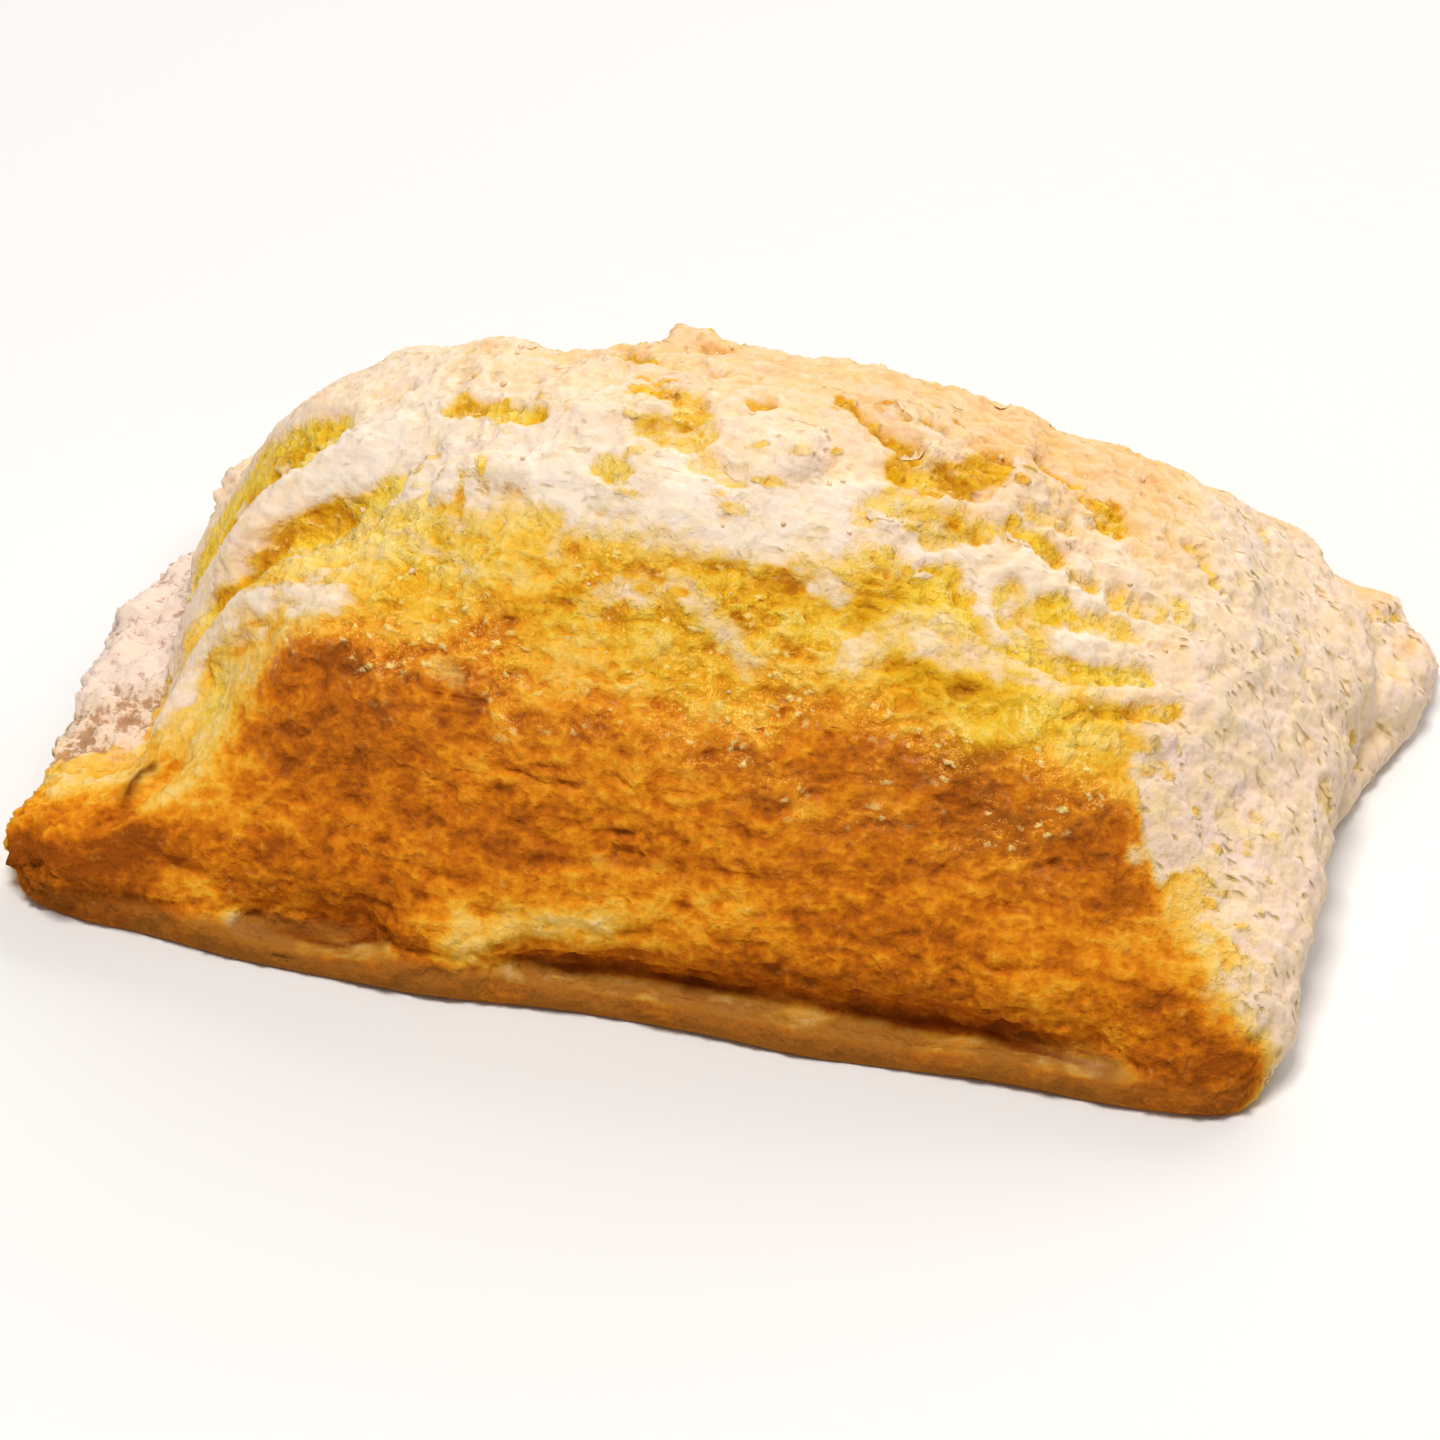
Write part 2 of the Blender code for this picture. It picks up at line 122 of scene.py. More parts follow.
def cells(points, size, seed=0):
    """Distance to the nearest of scattered seeds, in sizes, and a number for that seed from -1 to 1."""
    points = points / size
    base = np.floor(points).astype(np.int64)
    nearest = np.full(len(points), np.inf)
    label = np.zeros(len(points))
    for corner in range(27):
        cell = base + [corner % 3 - 1, corner // 3 % 3 - 1, corner // 9 - 1]
        random = mixed(cell, seed)
        away = np.linalg.norm(cell + 0.5 + random * CELL_JITTER - points, axis=1)
        closer = away < nearest
        nearest[closer] = away[closer]
        label[closer] = random[closer, 2]
    return nearest, label


def ramp(value, low, high):
    """A smooth rise from 0 at low to 1 at high."""
    share = np.clip((value - low) / (high - low), 0, 1)
    return share * share * (3 - 2 * share)


def along_line(points, line):
    """How far each point is from a line through the given points, and the share of the line passed there."""
    line = np.array(line, float)
    runs = np.diff(line, axis=0)
    lengths = np.linalg.norm(runs, axis=1)
    away = np.full(len(points), np.inf)
    share = np.zeros(len(points))
    passed = 0.0
    for start, run, length in zip(line, runs, lengths):
        along = np.clip((points - start) @ run / length ** 2, 0, 1)
        distance = np.linalg.norm(points - start - along[:, None] * run, axis=1)
        closer = distance < away
        away[closer] = distance[closer]
        share[closer] = (passed + along * length)[closer] / lengths.sum()
        passed += length
    return away, share


def crisp(points, line, width):
    """1 within the width of a line, with a clear edge."""
    away, _ = along_line(points, line)
    return 1 - ramp(away, 0.7 * width, 1.3 * width)


def soft(points, line, width):
    """1 within the width of a line, with a gentle edge."""
    away, _ = along_line(points, line)
    return 1 - ramp(away, 0.5 * width, 1.5 * width)


def hazy(points, line, width):
    """1 on a line, fading out over the width."""
    away, _ = along_line(points, line)
    return np.exp(-(away / width) ** 2)


def thin(points, line, width):
    """1 on a line, fading out over the width and towards both ends."""
    away, share = along_line(points, line)
    return np.exp(-(away / width) ** 2) * ramp(np.minimum(share, 1 - share), 0, 0.15)


def ruffled(points, coarse, fine):
    """The points moved about, so that what is drawn over them has an uneven outline."""
    wide = np.stack([fractal(points, 5.0, seed, 2) for seed in (111, 112, 113)], 1)
    return points + coarse * wide + sway(points, 1.7, (114, 115, 116), fine)


# ---------------------------------------------------------------- the crust's mesh

def get_points(mesh):
    places = np.empty(len(mesh.vertices) * 3)
    mesh.vertices.foreach_get("co", places)
    return places.reshape(-1, 3) / MM


def get_normals(mesh):
    normals = np.empty(len(mesh.vertices) * 3)
    mesh.vertex_normals.foreach_get("vector", normals)
    return normals.reshape(-1, 3)


def set_points(mesh, points):
    mesh.vertices.foreach_set("co", (points * MM).ravel())
    mesh.update()


def link_object(name, data):
    obj = bpy.data.objects.new(name, data)
    bpy.context.collection.objects.link(obj)
    return obj


def fine_skin(node):
    """A copy of the solid with small even faces, and one face under its flat foot."""
    welded = bmesh.new()
    welded.from_mesh(node.data)
    bmesh.ops.remove_doubles(welded, verts=welded.verts[:], dist=WELD * MM)
    mesh = bpy.data.meshes.new("crust")
    welded.to_mesh(mesh)
    welded.free()
    crust = link_object("crust", mesh)
    rounding = crust.modifiers.new("rounding", "SUBSURF")
    rounding.levels = rounding.render_levels = 1
    skin = crust.modifiers.new("skin", "REMESH")
    skin.mode = "VOXEL"
    skin.voxel_size = SKIN * MM
    smooth = crust.modifiers.new("smooth", "SMOOTH")
    smooth.factor, smooth.iterations = SMOOTH_SHARE, SMOOTH_ROUNDS
    graph = bpy.context.evaluated_depsgraph_get()
    mesh = bpy.data.meshes.new_from_object(crust.evaluated_get(graph))
    crust.modifiers.clear()
    crust.data = mesh
    cut = bmesh.new()
    cut.from_mesh(mesh)
    below = bmesh.ops.bisect_plane(cut, geom=cut.verts[:] + cut.edges[:] + cut.faces[:],
                                   plane_co=(0, 0, FOOT * MM), plane_no=(0, 0, -1), clear_outer=True)
    rim = [element for element in below["geom_cut"] if isinstance(element, bmesh.types.BMEdge)]
    bmesh.ops.edgeloop_fill(cut, edges=rim)
    bmesh.ops.triangulate(cut, faces=cut.faces[:])
    cut.to_mesh(mesh)
    cut.free()
    points = get_points(mesh)
    points[:, 2] -= FOOT * ramp(-points[:, 2], -FOOT_BLEND, -FOOT)
    set_points(mesh, points)
    return crust


# ---------------------------------------------------------------- strokes on the crust
# Each stroke is a line through some points, its width and its strength.

# Amber hollows in the pale leaf
HOLLOWS = {
    "left_valley_back": (((-59, 3, 13), (-57.5, 8, 18), (-53, 8, 24), (-48, 6, 28.5),
                         (-44, 4, 31.5)), 4.2, 1),
    "left_valley_tip": (((-42.5, 5.5, 31.5), (-40.5, 5, 33)), 1.12, 0.4),
    "left_valley_front": (((-47.5, -8, 23), (-43.5, -6.5, 26.5), (-39, -5.5, 28.5), (-35, -6, 31.5),
                          (-32.5, -5.5, 33.5)), 1.88, 0.95),
    "drip_a": (((-24.5, -9, 38), (-24, -11, 36)), 0.75, 0.75),
    "drip_b": (((-22.5, -7.5, 39.5), (-21.5, -10, 38)), 0.75, 0.65),
    "drip_c": (((-27.5, -7.5, 38), (-28.5, -9, 35)), 0.88, 0.65),
    "left_pit": (((-28.5, 2.5, 39), (-24, 1, 40), (-19, -1, 41)), 1.5, 0.9),
    "left_dash": (((-26.5, 7.5, 40), (-26, 8.5, 40)), 0.62, 0.75),
    "rim_pit": (((-18.5, 14, 39.5), (-14.5, 13.5, 41), (-10.5, 10.5, 42)), 1.12, 0.75),
    "crown_pit_a": (((-9, 3, 43), (-4, 1, 44.5), (-3, -2, 44)), 1.9, 0.8),
    "crown_pit_b": (((-6.5, -3.5, 44), (-4, -4.5, 43.5), (-1, -3.5, 43.5)), 1.6, 0.65),
    "crown_pit_c": (((-10, -8.5, 42), (-7.5, -10.5, 42.5)), 1.38, 0.85),
    "crown_pit_d": (((-0.5, -6.5, 42.5), (3.5, -8.5, 42.5)), 1.5, 0.55),
    "back_dash_a": (((-3, 7.5, 43.5), (-0.5, 8, 43.5)), 0.88, 0.65),
    "back_dash_b": (((2.5, 2, 44.5), (3.5, 2, 44.5)), 1.12, 0.75),
    "rim_dash": (((3.5, 13.5, 42), (6.5, 17.5, 41)), 0.62, 0.65),
    "groove": (((11, 6, 43.5), (14, 4, 43), (16.5, 3, 41.5), (19, 1, 41)), 1.25, 0.95),
    "big_pit": (((19.5, -1.5, 41), (22.5, -0.5, 40), (25.5, 1, 41), (26.5, 4.5, 40)), 2.75, 1),
    "faint_a": (((16.5, 8, 42.5), (19.5, 7.5, 41.5)), 1.12, 0.55),
    "right_pit_a": (((30, 10, 36.5), (33.5, 9.5, 35)), 1.25, 1),
    "right_pit_b": (((35, 7, 35.5), (37, 7.5, 35), (38.5, 4.5, 34)), 1.5, 1),
    "middle_pit": (((25, -5.5, 39), (27.5, -4.5, 38.5)), 1.8, 0.7),
    "right_pit_c": (((30, -3.5, 37.5), (34.5, -4, 36)), 1.5, 0.85),
    "soft_a": (((17, -8.5, 40.5), (20.5, -5, 40.5), (23.5, -7.5, 39)), 2, 0.65),
    "soft_b": (((17.5, -12.5, 39), (20.5, -12, 38)), 2.12, 0.4),
    "band_a": (((23, -14, 36), (24.5, -11.5, 36), (27, -15, 35), (29.5, -17.5, 33.5)), 2.38, 1),
    "band_b": (((29.5, -17.5, 33), (35, -15.5, 32), (40, -15.5, 30.5), (45, -12, 29)), 1.38, 1),
    "orange_pit": (((35, -11, 34), (36.5, -9, 33.5)), 1.62, 0.95),
    "soft_c": (((31.5, -10.5, 34.5), (34, -13.5, 33)), 1.88, 0.65),
    "soft_d": (((36, -10.5, 33), (40, -9, 32), (43, -8, 31)), 1.8, 0.6),
    "soft_e": (((30, 0, 37), (34, 0.5, 36)), 1.5, 0.55),
    "strip": (((41, -19, 29), (44.5, -17.5, 28), (48.5, -13.5, 26.5)), 1.1, 0.9),
    "dash_a": (((36.5, -5.5, 34.5), (38, -5, 33.5)), 0.88, 0.65),
    "dash_b": (((41, -4.5, 32), (44, -4, 31)), 1.5, 0.65),
    "dash_c": (((45.5, 8, 31.5), (47.5, 7, 30.5), (49, 5, 29.5)), 0.88, 0.75),
    "dash_d": (((46.5, -2, 30.5), (47.5, -3.5, 30)), 1.25, 0.65),
    "dash_e": (((50, 29, 21), (51, 26, 21)), 0.88, 0.5),
    "dash_f": (((41.5, 15.5, 31.5), (44, 11.5, 31.5)), 0.62, 0.5),
    "amber_band": (((2.5, -18, 36.5), (7, -17, 36.5), (10.5, -16.5, 36.5)), 1.8, 0.7),
    "amber_middle": (((10, -19.5, 34), (12.5, -21, 33)), 3.0, 0.35),
    "ear_crease": (((63, 12.5, 7.5), (63.5, 14.5, 3.5)), 0.88, 0.75),
    "ear_spot": (((61.5, 31, 11), (63.5, 34, 9)), 0.88, 0.55),
    "ear_fold": (((56, 10, 20), (57.5, 9.5, 18.5), (58.5, 7, 17.5)), 0.88, 0.55),
    "neck": (((62.5, -3, 12.5), (63, -4.5, 10.5)), 1.5, 0.55),
}
# Pale flaps over the amber pastry
FLAPS = {
    "left_ridge": (((-49, -7, 24.5), (-46, -5, 28), (-41.5, -2.5, 31.5), (-35, -1, 35.5),
                   (-28, -0.5, 38)), 2.2, 1.3),
    "front_ridge": (((-51, -20, 15.5), (-51, -16.5, 17.5), (-48.5, -16, 21), (-43, -18, 26),
                    (-34.5, -20, 29.5)), 2.1, 1.2),
    "ridge_foot": (((-57.5, 0, 12.5), (-53.5, -3.5, 18), (-49.5, -7.5, 23.5)), 2.4, 1.2),
    "rim_lumps": (((-52.5, -22, 13), (-53.5, -16, 12.5), (-54.5, -10, 11.5), (-56, -2, 12)), 2.3, 1.1),
    "slot_lumps": (((-54, -26, 12), (-50, -25, 14), (-47, -26, 15)), 1.4, 0.25),
    "sliver_a": (((-41, -14, 29), (-37, -11.5, 29)), 0.8, 0.63),
    "sliver_b": (((-37, -17, 29.5), (-34.5, -16, 30.5), (-31.5, -14.5, 31.5)), 0.8, 0.72),
    "sliver_c": (((-31, -12, 32.5), (-25, -14.5, 33), (-19.5, -18, 33.5)), 0.69, 0.72),
    "sliver_d": (((-46, -19, 21.5), (-41.5, -20.5, 24)), 1.15, 0.72),
    "blob_a": (((-47, -19, 19), (-42, -23.5, 21.5)), 1.84, 0.45),
    "streak_a": (((-13.5, -14, 38), (-12.5, -16.5, 36)), 0.92, 0.54),
    "drip": (((-25.5, -10.5, 36.5), (-23.5, -13, 35)), 0.8, 0.72),
    "middle_flap": (((-8, -20, 33), (-4.5, -19, 35), (1.5, -18.5, 36), (5, -21, 34),
                    (9, -24, 31.5)), 1.6, 0.68),
    "right_flap": (((18, -21.5, 32.5), (22, -18.5, 34), (25.5, -16.5, 34.5), (28.5, -17.5, 33.5),
                   (33, -17.5, 32)), 2.1, 0.7),
    "right_flap_tail": (((33, -17.5, 32), (38, -18.5, 30.5), (41, -17, 29.5)), 1.38, 0.72),
    "right_flap_low": (((24, -19, 32.5), (28.5, -18, 32), (33, -18.5, 31)), 1.5, 0.8),
    "band_end": (((12, -14.5, 37), (15.5, -15.5, 36)), 1.6, 0.8),
    "spot_a": (((-21.5, -26, 27.5), (-19.5, -27, 27)), 1.38, 0.36),
    "spot_b": (((-2.5, -22.5, 31.5), (0.5, -23, 31)), 1.15, 0.36),
}
# Browner patches
BROWN = {
    "upper_left": (((-37.5, -23.5, 26), (-34.5, -24, 27), (-31.5, -25, 27)), 3.0, 0.09),
    "upper_left_b": (((-34, -19, 29.5), (-30.5, -17, 31), (-25, -18.5, 31)), 2.2, 0.13),
    "upper_left_c": (((-21.5, -22.5, 30), (-19, -26.5, 28), (-17.5, -29, 24.5)), 1.6, 0.13),
    "upper_left_d": (((-27, -20, 32), (-22, -22.5, 32), (-19, -23, 31)), 2.6, 0.15),
    "left_corner": (((-50, -33, 14), (-46, -36, 10), (-45, -38, 6)), 4.0, 0.07),
    "front_left": (((-39.5, -30.5, 17), (-34, -32, 16.5), (-29, -33.5, 16)), 3.2, 0.04),
    "front_left_mid": (((-23.5, -34.5, 15.5), (-19, -35.5, 15), (-12, -36, 14.5)), 2.2, 0.1),
    "front_left_low": (((-33.5, -38.5, 4), (-29, -38, 5), (-24, -39, 6)), 2.6, 0.05),
    "front_right_top": (((17, -27, 27), (22.5, -27, 27), (29.5, -26.5, 26)), 3.4, 0.08),
    "front_right_mid": (((31, -29.5, 22.5), (39, -29.5, 20.5), (46, -30, 18)), 4.0, 0.09),
    "front_right_end": (((43.5, -23.5, 25.5), (47, -26.5, 21), (49, -30, 17)), 3.0, 0.1),
    "ear_left": (((-60.5, -36.5, 8), (-54, -37, 9)), 5.6, 0.28),
    "ear_left_top": (((-63, -36, 6), (-58, -34.5, 8), (-54, -34.5, 9)), 3.6, 0.2),
    "ear_left_foot": (((-60, -39, 2), (-55, -40.5, 1.5), (-51, -40.5, 2.5)), 2.2, 0.1),
    "ear_right": (((56.5, -40, 5), (59, -40, 5), (61.5, -38.5, 5)), 3.8, 0.13),
    "ear_right_foot": (((54, -42, 2.5), (57.5, -42, 1.5), (61, -40.5, 2)), 2.0, 0.14),
    "strip": (((41, -19, 29.5), (44.5, -17.5, 28), (48, -14, 26.5)), 1.4, 0.34),
    "shoulder_a": (((6.5, -25.5, 29.5), (10, -24, 30.5)), 1.8, 0.1),
    "shoulder_b": (((21, -24, 30.5), (25, -22.5, 30.5), (29, -21.5, 30)), 1.6, 0.04),
    "seam_shade": (((2, -38.5, 6), (14, -38.5, 6), (25.5, -37, 4.5)), 2.2, 0.07),
}
# Paler, ochre patches
OCHRE = {
    "ear_neck": (((-47.5, -36, 12.5), (-44, -37.5, 10.5), (-45.5, -39, 6.5)), 3.2, 0.12),
    "ear_crown": (((-62, -30, 7), (-57, -29, 9), (-53, -30, 11)), 2.5, 0.12),
    "left_valley": (((-42, -6.5, 28.5), (-37, -6, 31)), 2.5, 0.2),
    "front_left_foot": (((-42.5, -40, 5.5), (-38.5, -40, 3.5), (-34, -39.5, 5)), 2.6, 0.27),
    "front_left_bulge": (((-20.5, -38, 12), (-18.5, -41.5, 8.5)), 2.6, 0.08),
    "swelling": (((-14, -41.5, 7.5), (-11.5, -40.5, 8.5), (-5.5, -39.5, 9.5), (-2, -39, 10)), 2.7, 0.52),
    "shoulder": (((-18, -20, 33), (-8, -22, 33), (2, -24, 31.5), (12, -26, 29.5)), 4.5, 0.11),
    "shoulder_right": (((14.5, -24, 30.5), (18.5, -25.5, 29.5)), 2.4, 0.23),
    "middle": (((-15, -31.5, 21), (-10, -31.5, 21.5), (-3.5, -32.5, 21.5), (5, -31.5, 23.5)), 3.4, 0.15),
    "front_low": (((3, -38, 10), (8, -38, 11), (16.5, -38, 11.5)), 3.6, 0.24),
    "right_low": (((37.5, -38.5, 10), (43.5, -38.5, 8.5), (47, -38.5, 6)), 3.4, 0.2),
    "right_low_b": (((25.5, -38.5, 10.5), (33.5, -38.5, 9.5)), 2, 0.1),
    "ear_right_light": (((59.5, -36.5, 10), (62, -36.5, 8.5)), 1.4, 0.19),
}
# Painted shade: dark lines along the seam, the ear's slot and the folds, where their shadow falls
CREASE_SHADES = {
    "front_left": (((-38.5, -40, 3), (-32.5, -39.5, 2.5), (-28.5, -40, 2.5), (-25.5, -39, 3),
                   (-18.5, -42, 6.5)), 0.45, 1.0),
    "front": (((-13.5, -41, 4.5), (-2.5, -37.5, 3.5), (8, -37.5, 3), (22.5, -37.5, 3), (27.5, -37.5, 2.5),
              (35, -37, 3), (40.5, -38.5, 2.5), (46, -39.5, 2.5), (50.5, -41.5, 3)), 0.7, 1.0),
    "ear_slot": (((-50, -28.5, 12.5), (-52, -29.5, 11.5), (-52.5, -33, 11), (-52, -35, 10)), 0.7, 1.0),
    "fold_a": (((-10.5, -36, 15), (-4.5, -36, 14.5), (1.5, -35.5, 15), (7, -35.5, 15.5)), 0.5, 0.35),
    "fold_b": (((-26, -38.5, 8.5), (-22, -39.5, 9), (-18.5, -39.5, 10)), 0.4, 0.4),
}
# The front edge of the pale upper leaf: y at each x
UPPER_EDGE = (
    (-70, -54, -50, -45, -40, -34, -29, -24, -18, -12,
     -7, -2, 5, 12, 18, 24, 30, 38, 46, 58),
    (-14, -9, -8, -6, -6, -8, -9.5, -11, -11.5, -14.5,
     -14.5, -16, -16.5, -15, -14, -14.5, -17, -16.5, -18, -20),
)


# ---------------------------------------------------------------- areas of the crust

def regions(points, normals):
    """Soft masks for the sides of the pie, 0 to 1."""
    turned = normals[:, 0] + 0.15 * fractal(points, 4.0, 121, 2)
    return {
        "front": ramp(-normals[:, 1], 0.35, 0.8),
        "back": ramp(normals[:, 1], 0.35, 0.8),
        "top": ramp(points[:, 2], 29, 36) * ramp(normals[:, 2], 0.3, 0.75),
        "right_end": ramp(turned, 0.33, 0.58) * ramp(points[:, 0], 35, 50),
    }


def leaves(points):
    """How far along its own overlapping pastry leaf each point is, from 0 to the leaf's cliff at 1."""
    level = fractal(points + sway(points, 5.0, (3, 4, 5), 2.0), (13.0, 8.0, 7.0), 11, 3) * 4.5
    return level - np.floor(level)


def pits(points):
    """Sunk patches with a ragged outline."""
    return ramp(fractal(points + sway(points, 3.0, (6, 7, 8), 1.3), (7.0, 5.0, 5.0), 81, 3), 0.30, 0.46)


def most(points, strokes, shape):
    """The strongest of the strokes at each point."""
    strength = np.zeros(len(points))
    for line, width, share in strokes.values():
        strength = np.maximum(strength, share * shape(points, line, width))
    return strength


def hollows(points):
    """Where the pale upper leaf broke away and shows amber pastry under it."""
    return most(ruffled(points, 0.8, 0.5), HOLLOWS, crisp)


def flaps(points):
    """Pale flaps that lie over the amber pastry."""
    patchy = 0.75 + 0.5 * fractal(points, (3.5, 2.5, 2.5), 142, 2)
    return np.clip(most(ruffled(points, 0.9, 0.8), FLAPS, soft) * np.clip(patchy, 0, 1), 0, 1)


def behind_edge(points):
    """How far each point lies behind the upper leaf's front edge."""
    return points[:, 1] - np.interp(points[:, 0], *UPPER_EDGE)


def pale_share(points, normals):
    """1 on the pale leaves, partly a painted sheen: the top behind its ragged front edge, both ends, and the
    flaps.
    """
    side = regions(points, normals)
    ragged = 2.0 * fractal(points, (9.0, 6.0, 6.0), 101, 4)
    edge = behind_edge(points) + ragged
    # The top, the right end and what lies far out on both sides
    pale = ramp(edge, -3.0, 3.0) * ramp(points[:, 2], 10, 16)
    end = np.maximum(ramp(side["right_end"], 0.35, 1.0), ramp(points[:, 0] + ragged, 52, 59))
    pale = np.maximum(pale, end * ramp(points[:, 1] + ragged, -44, -38))
    pale = np.maximum(pale, ramp(edge, -3.0, 3.0) * ramp(np.abs(points[:, 0]), 50, 54))
    # Less on the brown ear at the front right, and in the hollows
    ear = ramp(points[:, 0], 46, 52) * (1 - ramp(points[:, 1] + ragged, -33, -28))
    ear *= 1 - 0.9 * ramp(points[:, 0] + ragged, 56, 61) * ramp(points[:, 1], -39, -34)
    pale = pale * (1 - ear * (1 - ramp(points[:, 2] + ragged, 9, 17)))
    islands = np.clip(1.0 + 0.9 * fractal(points, (2.8, 2.2, 2.2), 143, 2), 0.2, 1)
    pale = pale * (1 - 0.95 * hollows(points) * islands)
    return np.maximum(pale, flaps(points)) * (1 - 0.8 * side["back"])


def clusters(points, side):
    """Where flecks and crinkles gather on the crown, 0 to 1."""
    here = ramp(points[:, 0], -38, -28) * (1 - ramp(points[:, 1], 8, 18))
    return side["top"] * ramp(fractal(points, 9.0, 132, 2), -0.2, 0.25) * here


# ---------------------------------------------------------------- relief and masks

# How high or deep each kind of relief is at its strongest
LEAF_STEP, LUMP, BLISTER, GRAIN, CRAG, FIBRE = 0.85, 0.9, 0.6, 0.55, 0.85, 1.2
PIT_DEPTH, HOLLOW_DEPTH, PALE_LEAF = 0.4, 0.6, 0.4
# The share of a leaf that is passed where its cliff starts
CLIFF = 0.86
# Browning of the crust before anything is added, and of the loose pieces
BASE_BROWNING, PIECE_BROWNING = 0.31, 0.35


def relief(points, normals, pale):
    """How far each point is pushed out, in mm, and how far it stands above nearby hollows, for painted light
    and shade.
    """
    side = regions(points, normals)
    top, front = side["top"], side["front"]
    sides = np.maximum(front, side["back"])
    shoulder = ramp(points[:, 2], 23, 29)
    crust = np.maximum(shoulder, 0.4 * side["right_end"]) * (1 - 0.35 * ramp(front, 0.6, 1.0))
    rim = (1 - ramp(points[:, 0], -58, -53)) * (1 - ramp(points[:, 2], 9, 13))
    rough = np.maximum(crust * (1 - 0.65 * pale), 0.6 * rim)
    rolling = np.maximum(rim, 0.55 * side["right_end"]) + 0.3 * top
    gathered = clusters(points, side)
    # The kinds of relief, each about 0 to 1
    warp = sway(points, 3.5, (91, 92, 93), 1.2)
    warped = points + warp
    share = leaves(points)
    blister, size = cells(warped, (5.5, 4.5, 4.5), 31)
    blister = np.maximum(0, 1 - (blister / 0.6) ** 2) * ramp(size, -0.1, 0.8)
    grain, size = cells(points + 0.5 * warp, (2.1, 1.7, 1.7), 35)
    grain = np.maximum(0, 1 - (grain / 0.65) ** 2) * ramp(size, -0.5, 0.6)
    crag = 0.35 - np.abs(fractal(warped, (3.6, 2.2, 2.2), 41, 2))
    fibres = 0.35 - np.abs(fractal(points + 0.6 * warp, (6.0, 3.5, 1.8), 21, 2))
    lump = fractal(warped, (3.4, 3.0, 2.8), 95, 2)
    # Where each of them shows
    height = LEAF_STEP * (ramp(share, CLIFF, 1.0) - share) * (0.3 + 0.7 * rough)
    height += LUMP * lump * rolling
    height += BLISTER * blister * crust * (1 - 0.4 * pale)
    height += GRAIN * grain * (0.2 + 0.8 * rough) * (1 - 0.7 * pale)
    height += CRAG * crag * (0.2 + 0.8 * rough + 0.6 * gathered * pale)
    height += FIBRE * fibres * (0.2 + 0.8 * sides) * (1 - 0.4 * crust) * (1 - 0.5 * pale)
    height -= PIT_DEPTH * pits(points) * (0.1 + 0.9 * top)
    height -= HOLLOW_DEPTH * hollows(points)
    height += PALE_LEAF * pale
    # Painted light and shade: crests are painted paler and dips darker
    crest_light_and_shade = 1.1 * crag * (0.3 + 0.7 * rough + 0.3 * gathered) + 0.35 * (grain - 0.3) * (1 - 0.7 * pale)
    crest_light_and_shade += 0.9 * fibres * (0.2 + 0.8 * sides) + 0.9 * lump * rolling
    return height * ramp(points[:, 2], 0.2, 1.8), crest_light_and_shade


